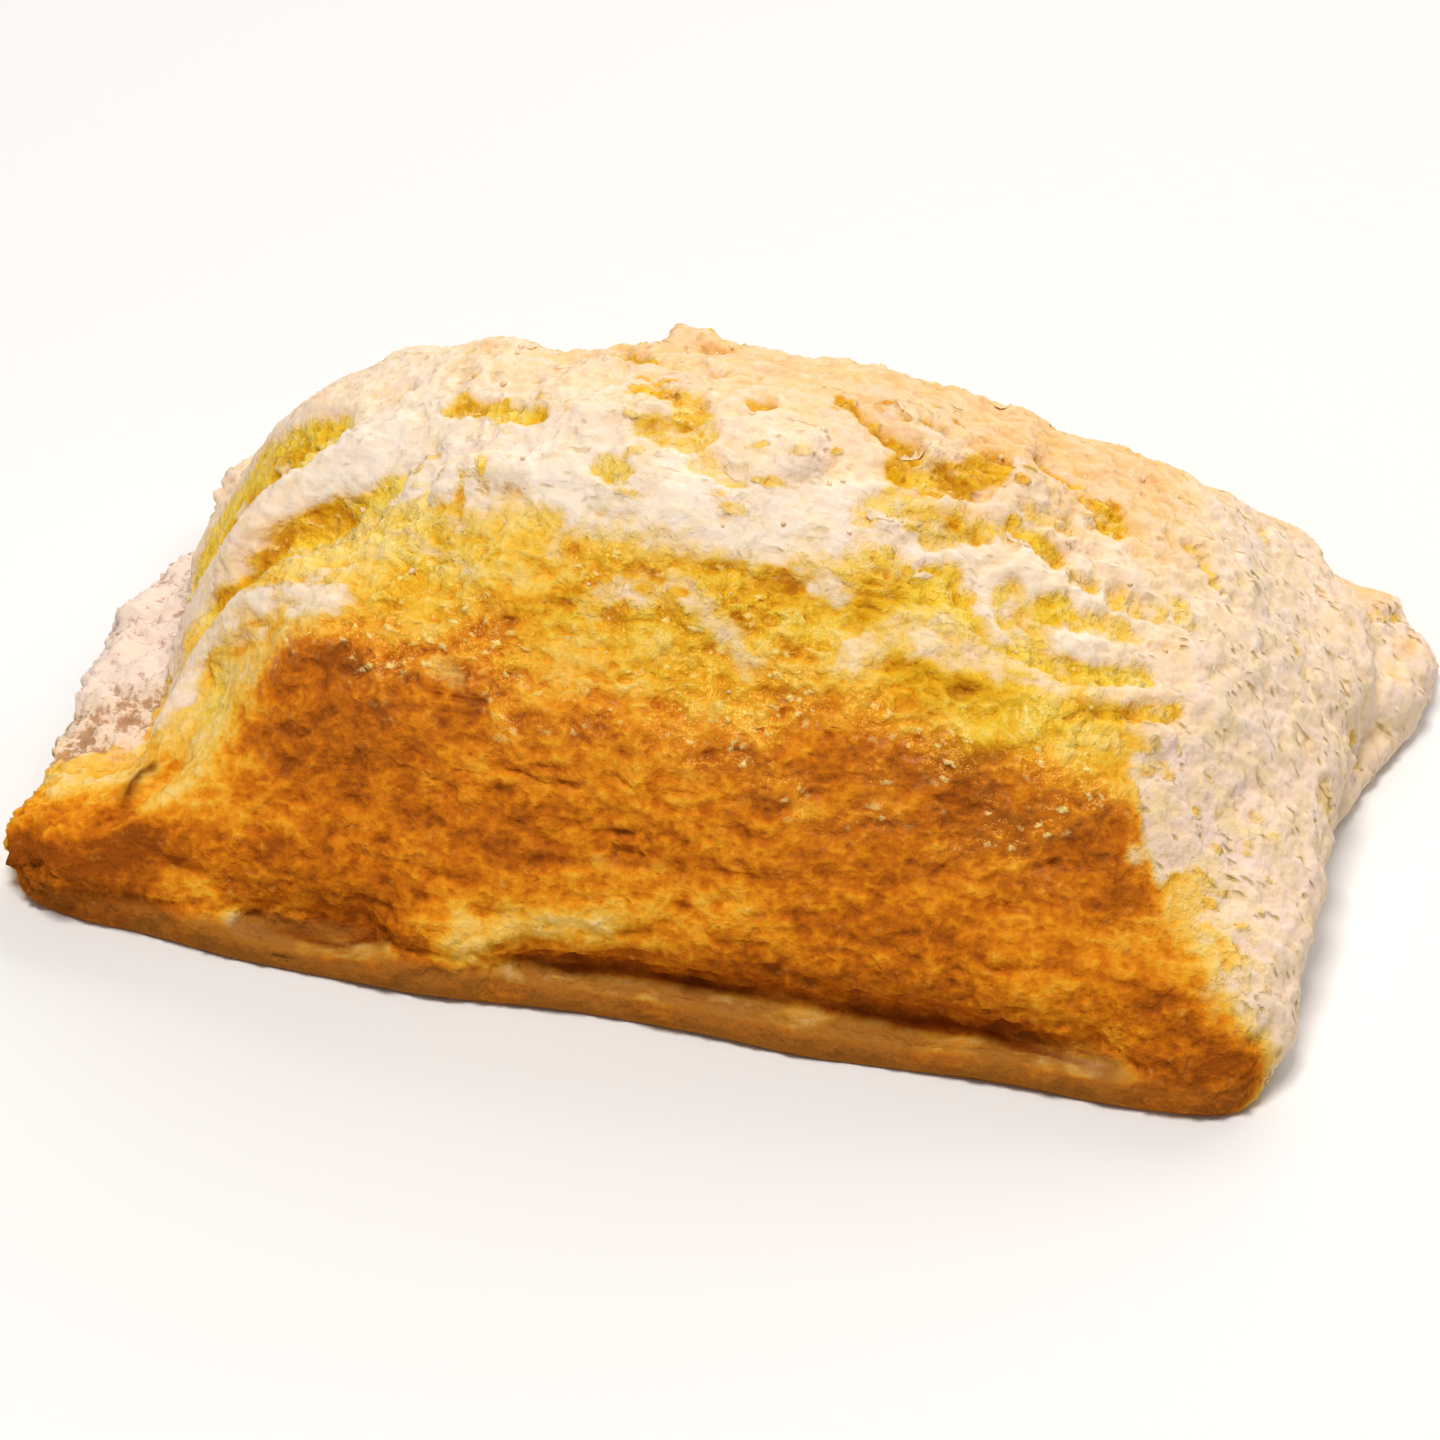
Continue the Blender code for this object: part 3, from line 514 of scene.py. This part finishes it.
def paint(points, normals, pale, crest_light_and_shade=0.0):
    """The masks that the materials read, 0 to 1."""
    side = regions(points, normals)
    sides = np.maximum(side["front"], side["back"])
    top, right_end = side["top"], side["right_end"]
    share = leaves(points)
    hollow = hollows(points)
    wide = fractal(points, 22.0, 61, 3)
    patch = fractal(points, (6.0, 5.0, 3.5), 71, 3)
    streak = fractal(points, (12.0, 6.0, 2.2), 76, 3)
    uneven = ruffled(points, 1.5, 0.4)
    x, y, z = ruffled(points, 2.0, 0.5).T

    # Golden pastry, in front of the upper leaf, up the left end and in the hollows
    before = behind_edge(points) + 3 * patch
    golden = ramp(before, -13, -5) * ramp(z, 22, 29) * (0.75 + 0.5 * wide) * (1 - right_end)
    golden = np.maximum(golden, (1 - ramp(x, -47, -42)) * ramp(z, 14, 18) * 0.8)
    golden = np.maximum(golden * (1 - pale), np.minimum(hollow, 0.9))

    # Browning: front and back, the fore part of the pale top, wide and narrow patches
    browning = np.full(len(points), BASE_BROWNING)
    browning += 0.50 * np.maximum(side["front"], 0.8 * side["back"]) * (1 - pale)
    fore = (1 - ramp(y, -10, 12)) * (0.3 + 0.7 * ramp(y, -21, -15))
    browning += pale * ramp(z, 28, 34) * (0.10 - 0.36 * fore)
    browning += (0.08 * wide + 0.08 * patch) * (1 - 0.5 * pale) + 0.07 * streak * sides
    # Pits and hollows
    amber = hollow * (0.18 + 0.26 * ramp(y, -10, 0)) * (0.2 + 0.8 * ramp(x, -36, -28))
    browning += (0.20 * pits(points) + amber) * top * (0.8 + 0.6 * patch)
    browning += 0.06 * hollow * ramp(z, 12, 20) * (1 - top)
    # Painted light and shade on leaf edges and relief: each step lighter at its top edge, darker at its foot;
    # crests paler, dips darker
    browning += 0.10 * (ramp(share, 0.3, CLIFF) - ramp(share, CLIFF, 0.95) - 0.3)
    browning -= 0.26 * crest_light_and_shade * (1 - 0.2 * pale)
    # The pale leaf warms up to the right and back, and is painted darker on its steep parts as painted shade
    browning += (0.0022 * points[:, 0] + 0.005 * (points[:, 1] + 4)) * pale * (1 - right_end)
    crown = ramp(x, -20, -6) * (ramp(y, -12, -2) - 0.7 * ramp(y, 8, 16))
    browning += pale * top * (0.13 * crown - 0.17 * (1 - ramp(x, -34, -22)))
    browning += 0.13 * pale * (1 - ramp(normals[:, 2], 0.1, 0.7)) * (1 - right_end)
    # Painted shade: the sides darken towards the floor; they also brown more to the left
    floor_shade = 0.05 * (1 - ramp(points[:, 2], 5, 17))
    browning += (floor_shade + 0.08 * (1 - ramp(x, -45, -15))) * sides * (1 - pale)
    for strokes, sign in ((BROWN, 1), (OCHRE, -1)):
        for line, width, change in strokes.values():
            browning += sign * change * hazy(uneven, line, width)
    browning += (0.14 * patch - 0.07) * golden * (1 - hollow)

    # Flour on the left rim, painted shade on the lip, rosy ends, glaze on what faces up
    flour = (1 - ramp(x, -58, -54)) * (1 - ramp(z, 8, 12)) * ramp(y, -25, -17) * (1 - ramp(y, 18, 30))
    lip_shade = (1 - ramp(points[:, 2], 3.2, 4.4)) * ramp(np.abs(points[:, 1]), 36, 39)
    lip_shade *= 1 - 0.6 * ramp(np.abs(points[:, 0]), 48, 53)
    rosy = np.maximum(np.maximum(ramp(x, 44, 56), 0.8 * right_end), (1 - ramp(x, -50, -42)))
    glaze = ramp(z, 8, 24) * ramp(normals[:, 2], -0.1, 0.8) * (1 - 0.6 * flour) * (1 - 0.45 * top)

    # Flecks at the leaf's right border, dots of glaze with painted glints over the shoulder, slits, painted
    # shade in seams
    border = ramp(x, 44, 49) * (1 - ramp(x, 58, 64)) * (1 - ramp(y, -22, -8)) * ramp(z, 3, 8)
    gathered = ramp(fractal(points, 7.0, 131, 2), -0.3, 0.15)
    low = np.interp(points[:, 0], (-50, 0, 20, 50), (22, 23, 19, 15))
    dots = ramp(z - low, 0, 4) * (1 - 0.9 * pale) * ramp(normals[:, 2], 0.2, 0.5) * gathered
    slits = np.maximum(np.maximum(right_end, ramp(x, 36, 50)), 0.5 * top) * ramp(pale, 0.2, 0.6)
    crease_shade = most(ruffled(points, 0.25, 0.15), CREASE_SHADES, thin)
    masks = {
        "browning": browning, "golden": golden, "pale": pale, "sides": sides, "lip_shade": lip_shade, "rosy": rosy,
        "flour": flour, "glaze": glaze, "dots": dots, "slits": slits, "crease_shade": crease_shade,
        "flecks": np.maximum(clusters(points, side), 0.85 * border),
    }
    return {name: np.clip(values, 0, 1) for name, values in masks.items()}


def store(mesh, masks):
    for name, values in masks.items():
        layer = mesh.attributes.new(name, "FLOAT", "POINT")
        layer.data.foreach_set("value", values.astype(np.float32))


# ---------------------------------------------------------------- materials

BLACK, WHITE = (0, 0, 0), (1, 1, 1)


class Nodes:
    """Short calls for building a node tree. Sizes are in mm."""

    def __init__(self, name):
        self.material = bpy.data.materials.new(name)
        self.material.use_nodes = True
        self.tree = self.material.node_tree
        self.shader = self.tree.nodes["Principled BSDF"]

    def add(self, kind, inputs=(), **settings):
        node = self.tree.nodes.new("ShaderNode" + kind)
        for key, value in settings.items():
            setattr(node, key, value)
        for key, value in dict(inputs).items():
            self.feed(node.inputs[key], value)
        return node

    def feed(self, socket, value):
        if hasattr(value, "is_linked"):
            self.tree.links.new(value, socket)
        else:
            socket.default_value = value

    def surface(self, values):
        """Feeds the shader's inputs."""
        for key, value in values.items():
            self.feed(self.shader.inputs[key], value)

    def mask(self, name):
        return self.add("Attribute", attribute_name=name).outputs["Fac"]

    def math(self, operation, first, second, clamp=False):
        return self.add("Math", {0: first, 1: second}, operation=operation, use_clamp=clamp).outputs[0]

    def plus(self, first, second, clamp=False):
        return self.math("ADD", first, second, clamp)

    def minus(self, first, second):
        return self.math("SUBTRACT", first, second)

    def times(self, first, second):
        return self.math("MULTIPLY", first, second)

    def mix(self, share, first, second):
        """The first colour, and the second where the share is 1."""
        return self.add("Mix", {0: share, 6: first, 7: second}, data_type="RGBA").outputs[2]

    def mix_value(self, share, first, second):
        return self.add("Mix", {0: share, 2: first, 3: second}, data_type="FLOAT").outputs[0]

    def ramp(self, value, stops):
        node = self.add("ValToRGB", {"Fac": value})
        elements = node.color_ramp.elements
        while len(elements) < len(stops):
            elements.new(0.5)
        for element, (place, colour) in zip(elements, stops):
            element.position = place
            element.color = (*colour, 1.0)
        return node.outputs["Color"]

    def rise(self, value, low, high):
        """A straight rise from 0 at low to 1 at high."""
        return self.ramp(value, ((low, BLACK), (high, WHITE)))

    def fall(self, value, low, high):
        """A straight fall from 1 at low to 0 at high."""
        return self.ramp(value, ((low, WHITE), (high, BLACK)))

    def place(self, stretch):
        """The object's own place, scaled by a share for each axis."""
        place = self.add("TexCoord").outputs["Object"]
        return self.add("Mapping", {"Vector": place, "Scale": stretch}).outputs[0]

    def noise(self, size, detail=3.0, roughness=0.55, stretch=(1, 1, 1), output="Fac"):
        """Noise, 0 to 1, with features of this size."""
        inputs = {"Vector": self.place(stretch), "Scale": 1 / (size * MM), "Detail": detail,
                  "Roughness": roughness}
        return self.add("TexNoise", inputs).outputs[output]

    def about(self, field, reach):
        """A field of 0 to 1 made to swing both ways, over the reach in all."""
        return self.times(self.minus(field, 0.5), reach)

    def scattered(self, size, stretch, drift):
        """Distance to the nearest of scattered points, in sizes, over a place that drifts by so many mm."""
        move = self.add("VectorMath", {0: self.noise(6.0, 1.0, output="Color"), 1: (0.5, 0.5, 0.5)},
                        operation="SUBTRACT").outputs[0]
        move = self.add("VectorMath", {0: move, "Scale": 2 * drift * MM}, operation="SCALE").outputs[0]
        moved = self.add("VectorMath", {0: self.place(stretch), 1: move}, operation="ADD").outputs[0]
        return self.add("TexVoronoi", {"Vector": moved, "Scale": 1 / (size * MM)}).outputs["Distance"]


# Colours, linear: by browning, or by noise for the tint
BAKED_TONES = (
    (0.00, (0.95, 0.71, 0.33)),
    (0.25, (0.93, 0.59, 0.13)),
    (0.45, (0.90, 0.45, 0.035)),
    (0.62, (0.80, 0.28, 0.012)),
    (0.78, (0.60, 0.165, 0.008)),
    (0.90, (0.46, 0.12, 0.008)),
    (1.00, (0.33, 0.08, 0.007)),
)
# The pale leaf's tones: its own pale pastry, made paler still as a painted sheen of light
PALE_TONES = (
    (0.00, (0.94, 0.85, 0.75)),
    (0.30, (0.93, 0.74, 0.54)),
    (0.55, (0.88, 0.57, 0.25)),
    (0.75, (0.76, 0.38, 0.06)),
    (1.00, (0.35, 0.11, 0.01)),
)
GOLDEN_TONES = (
    (0.10, (0.94, 0.75, 0.22)),
    (0.35, (0.89, 0.62, 0.045)),
    (0.58, (0.80, 0.46, 0.012)),
    (0.90, (0.55, 0.21, 0.005)),
)
TINT_TONES = (
    (0.36, (0.91, 0.70, 0.38)),
    (0.50, (0.92, 0.71, 0.53)),
    (0.64, (0.94, 0.72, 0.65)),
)
FLOUR_TONE = (0.90, 0.74, 0.66, 1.0)
RIM_TONE = (0.38, 0.22, 0.16, 1.0)
# Painted shade on the lip
LIP_SHADE_TONE = (0.35, 0.13, 0.02, 1.0)
EDGE_TONE = (0.88, 0.61, 0.15, 1.0)
GLINT_TINT = (1.0, 0.76, 0.20, 1.0)
# Painted highlight: the colour of the glints on drops of glaze
PAINTED_GLINT_TONE = (1.0, 0.80, 0.28, 1.0)
# Painted shade in the seam and folds
CREASE_SHADE_TONE = (0.20, 0.038, 0.003, 1.0)
SLIT_TONE = (0.58, 0.38, 0.06, 1.0)
# In metres: how high the finest bumps are, and how far light goes under the crust
BUMP_HEIGHT = 0.0005
LIGHT_DEPTH = 0.0015


def crust_material():
    """Baked pastry under torn pale leaves: flour, slits, glaze, painted glints, painted shade in seams and lip.
    """
    n = Nodes("crust")
    flecks, sides, golden = n.mask("flecks"), n.mask("sides"), n.mask("golden")
    glaze, dots = n.mask("glaze"), n.mask("dots")

    # The pale leaf with its torn outline, and the wider edge that shows round it
    fleck = n.fall(n.scattered(2.6, (0.6, 1.0, 1.0), 1.6), 0.16, 0.36)
    share = n.plus(n.mask("pale"), n.about(n.noise(1.6, 4.0, 0.65), 1.1))
    share = n.minus(share, n.times(fleck, n.times(flecks, 0.75)))
    edge = n.rise(share, 0.12, 0.50)
    pale = n.rise(share, 0.35, 0.85)

    # Browning with fine speckle, plus painted light and shade on the rough grain and waves: their dips darker,
    # their tops lighter
    speckle = n.mix_value(sides, n.noise(2.2, 4.0, 0.6), n.noise(1.8, 4.0, 0.6, (0.35, 0.5, 1.2)))
    rough = n.noise(0.9, 3.0, 0.55)
    waves = n.noise(2.4, 2.0, 0.5)
    grain = n.plus(n.about(rough, -0.5), n.about(waves, -0.45))
    grain = n.times(n.plus(n.about(speckle, 0.38), grain), n.minus(1.0, n.times(pale, 0.25)))
    browning = n.plus(n.mask("browning"), grain, clamp=True)

    # Tones of the leaf and of the baked pastry
    tinted = n.times(n.plus(n.mask("rosy"), flecks), 0.3)
    tint = n.ramp(n.noise(3.2, 4.0, 0.6), TINT_TONES)
    leaf = n.mix(n.plus(tinted, 0.25, clamp=True), n.ramp(browning, PALE_TONES), tint)
    baked = n.mix(golden, n.ramp(browning, BAKED_TONES), n.ramp(browning, GOLDEN_TONES))
    sunk = n.times(golden, n.rise(browning, 0.45, 0.75))
    baked = n.mix(n.times(edge, n.minus(0.7, n.times(sunk, 0.5))), baked, EDGE_TONE)
    colour = n.mix(pale, baked, leaf)

    # Flour over the specked rim, and blotched painted shade on the lip
    flour = n.rise(n.plus(n.mask("flour"), n.about(n.noise(1.6), 1.1)), 0.35, 0.7)
    depth = n.times(n.minus(n.math("MINIMUM", browning, 0.5), 0.35), 0.8)
    specks = n.rise(n.plus(n.noise(1.1, 4.0, 0.7), depth), 0.42, 0.58)
    colour = n.mix(n.times(flour, 0.8), colour, n.mix(n.times(specks, 0.9), FLOUR_TONE, RIM_TONE))
    blotches = n.ramp(n.noise(5.0, 3.0), ((0.35, (0.6, 0.6, 0.6)), (0.5, WHITE)))
    colour = n.mix(n.times(n.mask("lip_shade"), n.times(blotches, 0.9)), colour, LIP_SHADE_TONE)

    # Slits in the leaf, and painted shade along the seam and folds
    slit = n.fall(n.scattered(1.9, (0.45, 2.0, 0.6), 3.4), 0.10, 0.30)
    slit = n.times(n.times(slit, n.mask("slits")), n.rise(n.noise(4.0, 2.0), 0.36, 0.50))
    colour = n.mix(n.times(slit, 0.75), colour, SLIT_TONE)
    colour = n.mix(n.mask("crease_shade"), colour, CREASE_SHADE_TONE)

    # Drops of glaze that glint, with a painted highlight mixed into the colour at their middles
    drop = n.plus(n.scattered(1.3, (0.6, 1.0, 0.9), 1.6), n.about(n.noise(0.5, 1.0), 0.5))
    drop = n.fall(drop, 0.0, 0.42)
    painted_glint = n.times(n.rise(drop, 0.30, 0.75), dots)
    colour = n.mix(n.times(painted_glint, 0.85), colour, PAINTED_GLINT_TONE)

    # Gloss in patches, and fine bumps that are lower on the leaf
    patchy = n.rise(n.noise(4.0, 4.0), 0.46, 0.62)
    shine = n.minus(0.17, n.times(sides, 0.13))
    coarse = n.plus(n.minus(1.0, n.times(pale, 0.75)), n.times(flecks, 0.4))
    height = n.plus(n.times(rough, coarse), n.times(waves, 1.3))
    height = n.plus(height, n.minus(n.times(drop, n.times(dots, 0.3)), n.times(slit, 0.5)))
    bump = n.add("Bump", {"Strength": 1.0, "Distance": BUMP_HEIGHT, "Height": height})
    n.surface({
        "Base Color": colour,
        "Roughness": n.minus(0.55, n.times(dots, 0.33)),
        "Specular IOR Level": n.times(n.plus(glaze, n.times(dots, 3.0)), 0.15),
        "Specular Tint": GLINT_TINT,
        "Coat Weight": n.times(n.times(glaze, patchy), shine),
        "Coat Roughness": 0.22,
        "Coat IOR": 1.6,
        "Subsurface Weight": 0.12,
        "Subsurface Radius": (1.0, 0.45, 0.15),
        "Subsurface Scale": LIGHT_DEPTH,
        "Normal": bump.outputs[0],
    })
    return n.material


# ---------------------------------------------------------------- flakes and crumbs

SEED = 7
FLAKES = 16
FLAKE_RINGS, FLAKE_SIDES = 4, 14
FLAKE_GAP = 0.02
# A flake is laid on the crust by rays from this far above it, and of this length
RAY_START, RAY_LENGTH = 3, 8
CRUMBS = 70
FLAKE_PALENESS, CRUMB_PALENESS = 0.95, 0.9


def surface_of(mesh):
    corners = np.empty(len(mesh.polygons) * 3, int)
    mesh.polygons.foreach_get("vertices", corners)
    return BVHTree.FromPolygons(get_points(mesh).tolist(), corners.reshape(-1, 3).tolist())


def add_piece(name, verts, faces, pale):
    mesh = bpy.data.meshes.new(name)
    mesh.from_pydata((np.array(verts) * MM).tolist(), [], faces)
    mesh.update()
    places, normals = get_points(mesh), get_normals(mesh)
    masks = paint(places, normals, np.full(len(places), pale))
    for mask in ("golden", "slits", "crease_shade", "dots", "flecks"):
        masks[mask][:] = 0
    masks["browning"][:] = PIECE_BROWNING
    store(mesh, masks)
    return link_object(name, mesh)


def flake_outline(random):
    """How far a ragged flake reaches at each of its sides, in shares of its size."""
    reach = 1 + 0.5 * random.standard_normal(FLAKE_SIDES).cumsum() / 2
    reach -= np.linspace(0, reach[-1] - reach[0], FLAKE_SIDES)
    return np.clip(reach, 0.45, 1.5)


def flake_faces(base, count):
    """The faces of a flake whose outer vertices start at base, and the inner ones so many further on."""
    faces = []
    for flip, start in ((False, base), (True, base + count)):
        for step in range(FLAKE_SIDES):
            after = (step + 1) % FLAKE_SIDES
            quads = [(start, start + 1 + step, start + 1 + after)]
            for ring in range(FLAKE_RINGS - 2):
                near, far = start + 1 + ring * FLAKE_SIDES, start + 1 + (ring + 1) * FLAKE_SIDES
                quads.append((near + step, far + step, far + after, near + after))
            faces += [tuple(reversed(quad)) if flip else quad for quad in quads]
    rim = base + 1 + (FLAKE_RINGS - 2) * FLAKE_SIDES
    for step in range(FLAKE_SIDES):
        after = (step + 1) % FLAKE_SIDES
        faces.append((rim + step, rim + count + step, rim + count + after, rim + after))
    return faces


def loose_flakes(points, normals, surface, random):
    """Thin ragged leaves that lie on the crust and lift along one side."""
    side = regions(points, normals)
    want = side["top"] * (1 - side["front"]) * (0.15 + hollows(points))
    want *= ramp(points[:, 2], 31, 34)
    want *= ramp(points[:, 1], -15, -10)
    verts, faces = [], []
    for index in random.choice(len(points), FLAKES, replace=False, p=want / want.sum()):
        normal = Vector(normals[index])
        size = random.uniform(0.7, 1.3) * random.choice([1.0, 1.0, 1.5])
        lift = random.uniform(0.05, 0.18) * size
        thickness = random.uniform(0.10, 0.18)
        downhill = Vector((normal.x, normal.y - 0.4, 0))
        along = Matrix.Rotation(random.normal(0, 0.7), 3, normal) @ (downhill - normal * downhill.dot(normal))
        along.normalize()
        across = normal.cross(along)
        stretch = random.uniform(0.3, 0.65)
        reach = flake_outline(random)
        outer, inner = [], []
        for ring in range(FLAKE_RINGS):
            for step in range(FLAKE_SIDES if ring else 1):
                angle = math.tau * step / FLAKE_SIDES
                away = size * ring / (FLAKE_RINGS - 1) * (reach[step] if ring else 0)
                u, v = away * math.cos(angle) * stretch, away * math.sin(angle)
                start = Vector(points[index]) + along * u + across * v + normal * RAY_START
                hit = surface.ray_cast(start, -normal, RAY_LENGTH)[0]
                if hit is None:
                    hit = start - normal * RAY_START
                share = 0.5 + 0.5 * u / (size * stretch)
                rise = lift * share ** 2 + random.uniform(0, 0.05) + FLAKE_GAP
                outer.append(hit + normal * rise)
                inner.append(hit + normal * (rise - thickness))
        faces += flake_faces(len(verts), len(outer))
        verts += outer + inner
    return add_piece("crust_flakes", verts, faces, FLAKE_PALENESS)


def loose_crumbs(points, normals, random):
    """Small angular crumbs that sit in the crust."""
    side = regions(points, normals)
    want = (0.08 + side["top"] + 0.5 * ramp(points[:, 2], 22, 30)) * (points[:, 2] > 5)
    want *= (0.4 + 2 * pits(points)) * (1 - 0.7 * side["front"])
    solid = bmesh.new()
    bmesh.ops.create_icosphere(solid, subdivisions=1, radius=1.0)
    shape = np.array([vert.co for vert in solid.verts])
    corners = [[vert.index for vert in face.verts] for face in solid.faces]
    solid.free()
    verts, faces = [], []
    for index in random.choice(len(points), CRUMBS, replace=False, p=want / want.sum()):
        size = random.uniform(0.14, 0.42) * random.uniform(0.6, 1.2, 3)
        rough = shape * random.uniform(0.7, 1.3, (len(shape), 1)) * size
        turn = Euler(random.uniform(0, math.tau, 3)).to_matrix()
        placed = rough @ np.array(turn).T + points[index] + normals[index] * size.min() * 0.4
        faces += [[len(verts) + corner for corner in face] for face in corners]
        verts += placed.tolist()
    return add_piece("crust_crumbs", verts, faces, CRUMB_PALENESS)


# ---------------------------------------------------------------- floor, light, camera

def area_light(name, place, size, power, colour):
    light = bpy.data.lights.new(name, "AREA")
    light.shape = "RECTANGLE"
    light.size, light.size_y = size
    light.energy, light.color = power, colour
    obj = link_object(name, light)
    obj.location = place
    obj.rotation_euler = (-Vector(place)).to_track_quat("-Z", "Y").to_euler()


def studio():
    """A pale floor, two soft lights, a dim warm surrounding and the photo's camera."""
    bpy.ops.mesh.primitive_plane_add(size=FLOOR_SIZE)
    floor = bpy.context.object
    floor.name = "floor"
    n = Nodes("floor")
    n.surface({"Base Color": FLOOR_TONE, "Roughness": FLOOR_ROUGHNESS})
    floor.data.materials.append(n.material)
    for name, settings in LIGHTS.items():
        area_light(name, *settings)
    world = bpy.data.worlds.new("studio")
    bpy.context.scene.world = world
    world.use_nodes = True
    world.node_tree.nodes["Background"].inputs["Color"].default_value = WORLD_TONE
    world.node_tree.nodes["Background"].inputs["Strength"].default_value = WORLD_STRENGTH
    turn, down = math.radians(CAMERA_TURN), math.radians(CAMERA_DOWN)
    back = Vector((math.sin(turn) * math.cos(down), -math.cos(turn) * math.cos(down), math.sin(down)))
    camera = link_object("camera", bpy.data.cameras.new("camera"))
    camera.data.lens, camera.data.sensor_width = CAMERA_LENS, CAMERA_SENSOR
    camera.data.clip_start = CAMERA_NEAR
    camera.location = Vector(CAMERA_TARGET) + back * CAMERA_DISTANCE
    camera.rotation_euler = (-back).to_track_quat("-Z", "Y").to_euler()
    bpy.context.scene.camera = camera
    bpy.context.scene.view_settings.view_transform = "Standard"


# ---------------------------------------------------------------- the pie

def dressed(node):
    """The crust, its flakes and its crumbs, made on the solid."""
    crust = fine_skin(node)
    points, normals = get_points(crust.data), get_normals(crust.data)
    pale = pale_share(points, normals)
    height, crest_light_and_shade = relief(points, normals, pale)
    store(crust.data, paint(points, normals, pale, crest_light_and_shade))
    points = points + normals * height[:, None]
    points[:, 2] = np.maximum(points[:, 2], 0)
    set_points(crust.data, points)
    normals = get_normals(crust.data)
    crust.data.materials.clear()
    random = np.random.default_rng(SEED)
    flakes = loose_flakes(points, normals, surface_of(crust.data), random)
    crumbs = loose_crumbs(points, normals, random)
    return crust, flakes, crumbs


studio()
pieces = dressed(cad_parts["pie"])
coat = crust_material()
for piece in pieces:
    piece.data.materials.append(coat)
    piece.data.shade_smooth()
    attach(piece, "root")
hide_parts("pie")
